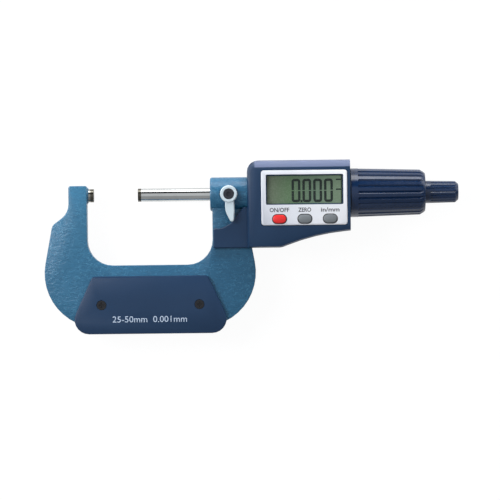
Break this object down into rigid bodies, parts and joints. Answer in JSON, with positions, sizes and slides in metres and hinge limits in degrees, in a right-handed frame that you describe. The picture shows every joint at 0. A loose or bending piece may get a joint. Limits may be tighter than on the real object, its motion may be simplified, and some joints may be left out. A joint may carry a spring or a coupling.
{
  "type": "digital outside micrometer",
  "caption": "Outside micrometer for 25 to 50 mm with a C-shaped frame, digital display housing, spindle lock, fluted thimble and ratchet stop.",
  "frame": {"origin": "centre of the anvil's measuring face", "axes": "+X along the spindle axis from the anvil towards the thimble, +Y up across the frame towards its open end, +Z out of the display"},
  "size_m": [0.2348, 0.0971, 0.0303],
  "materials": {
    "blue_paint": "hammered",
    "navy_plastic": "satin",
    "navy_grip": "satin",
    "ground_steel": "ground",
    "carbide": "lapped",
    "black_screw": "black oxide",
    "white_enamel": "satin",
    "brass": "plain",
    "silver_panel": "silver satin",
    "clear_plastic": "clear",
    "display_glass": "grey-green",
    "black_plastic": "matt",
    "grey_rubber": "matt",
    "green_board": "lacquered",
    "red_button": "satin",
    "grey_button": "satin",
    "black_rubber": "matt",
    "dull_steel": "turned"
  },
  "bodies": {
    "frame": {"frame": "blue_paint", "anvil": "ground_steel", "anvil_tip": "carbide", "cover_plate_front": "navy_plastic", "cover_plate_back": "navy_plastic", "cover_screw_front_left": "black_screw", "cover_screw_front_right": "black_screw", "cover_screw_back_left": "black_screw", "cover_screw_back_right": "black_screw", "housing_front": "navy_plastic", "housing_back": "navy_plastic", "housing_screw_top_left": "black_screw", "housing_screw_top_right": "black_screw", "housing_screw_foot_left": "black_screw", "housing_screw_foot_right": "black_screw", "display_panel": "silver_panel", "display_window": "clear_plastic", "lcd_glass": "display_glass", "lcd_holder": "black_plastic", "contact_strip_top": "grey_rubber", "contact_strip_foot": "grey_rubber", "circuit_board": "green_board", "keypad": "grey_rubber", "battery": "ground_steel", "battery_contact_side": "brass", "battery_contact_top": "brass", "mounting_flange": "dull_steel", "encoder_stator": "green_board", "wave_spring": "dull_steel", "barrel": "ground_steel", "adjusting_nut": "ground_steel", "lock_pad": "brass"},
    "rotor": {"encoder_rotor": "green_board", "rotor_key": "dull_steel"},
    "spindle": {"spindle": "ground_steel", "spindle_tip": "carbide", "thimble_core": "dull_steel", "thimble_grip": "navy_grip", "ratchet_base": "dull_steel", "ratchet_screw": "black_screw"},
    "ratchet": {"ratchet_knob": "navy_grip", "ratchet_pawl": "dull_steel", "ratchet_spring": "ground_steel"},
    "lock": {"lock_lever": "white_enamel", "lock_screw": "black_screw", "lock_stud": "dull_steel"},
    "button_on_off": {"button_on_off": "red_button"},
    "button_zero": {"button_zero": "grey_button"},
    "button_units": {"button_units": "grey_button"},
    "battery_cap": {"battery_cap": "navy_plastic", "battery_seal": "black_rubber"}
  },
  "joints": [
    {"name": "thimble_turn", "type": "hinge", "parent": "frame", "child": "rotor", "pos_m": [0.094, 0, 0], "axis": [1, 0, 0], "range_deg": [0, 18000]},
    {"name": "spindle_advance", "type": "slide", "parent": "rotor", "child": "spindle", "axis": [1, 0, 0], "range_m": [0, 0.025]},
    {"name": "ratchet_turn", "type": "hinge", "parent": "spindle", "child": "ratchet", "pos_m": [0.19, 0, 0], "axis": [1, 0, 0], "continuous": true},
    {"name": "lock_turn", "type": "hinge", "parent": "frame", "child": "lock", "pos_m": [0.0765, 0, 0.0093], "axis": [0, 0, 1], "range_deg": [-60, 0]},
    {"name": "press_on_off", "type": "slide", "parent": "frame", "child": "button_on_off", "axis": [0, 0, -1], "range_m": [0, 0.0006], "stiffness_N_per_m": 800, "deforming": ["keypad"]},
    {"name": "press_zero", "type": "slide", "parent": "frame", "child": "button_zero", "axis": [0, 0, -1], "range_m": [0, 0.0006], "stiffness_N_per_m": 800, "deforming": ["keypad"]},
    {"name": "press_units", "type": "slide", "parent": "frame", "child": "button_units", "axis": [0, 0, -1], "range_m": [0, 0.0006], "stiffness_N_per_m": 800, "deforming": ["keypad"]},
    {"name": "battery_cap_turn", "type": "hinge", "parent": "frame", "child": "battery_cap", "pos_m": [0.099, -0.0195, -0.0144], "axis": [0, 0, -1], "range_deg": [0, 60]}
  ],
  "couplings": [
    {"joint": "thimble_turn", "follows": "spindle_advance", "rad_per_m": 12566}
  ]
}
